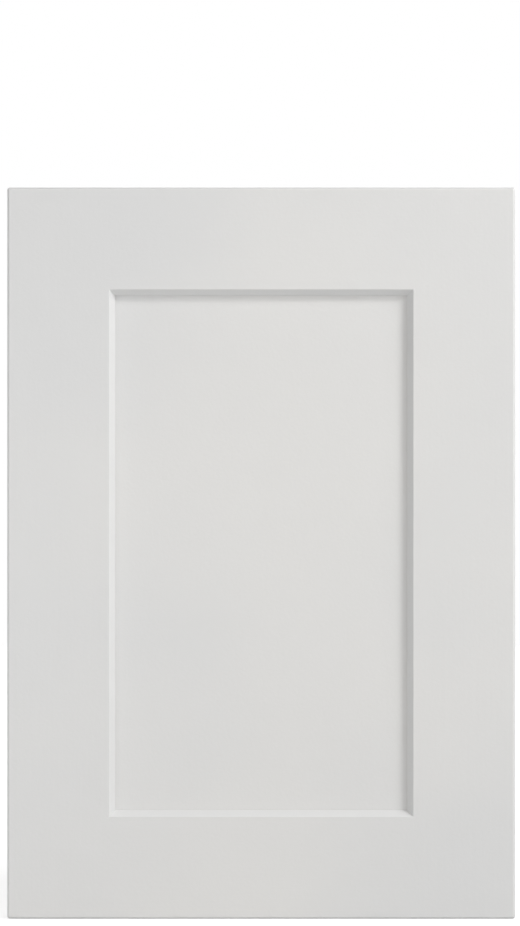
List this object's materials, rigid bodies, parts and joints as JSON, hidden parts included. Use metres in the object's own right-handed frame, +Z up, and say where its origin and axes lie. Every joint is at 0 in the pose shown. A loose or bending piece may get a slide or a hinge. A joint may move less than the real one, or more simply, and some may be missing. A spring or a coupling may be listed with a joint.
{
  "type": "kitchen cabinet door",
  "caption": "Painted framed cabinet door with a flat sunk panel, coped and dowelled corners, and cup-hinge boring in the back of the hinge stile.",
  "frame": {"origin": "middle of the door's bottom edge, half-way through its thickness", "axes": "+Z up along the stiles, +Y out of the back towards the cabinet, so the front faces -Y, and +X to the right as seen from the front"},
  "size_m": [0.396, 0.022, 0.57],
  "materials": {
    "painted_frame": "smooth matt paint, pale warm grey",
    "painted_panel": "smooth matt paint, pale warm grey",
    "dowel_wood": "bare fluted beech"
  },
  "bodies": {
    "root": {"hinge_stile": "painted_frame", "closing_stile": "painted_frame", "top_rail": "painted_frame", "bottom_rail": "painted_frame", "centre_panel": "painted_panel", "corner_dowels": "dowel_wood"}
  },
  "joints": []
}
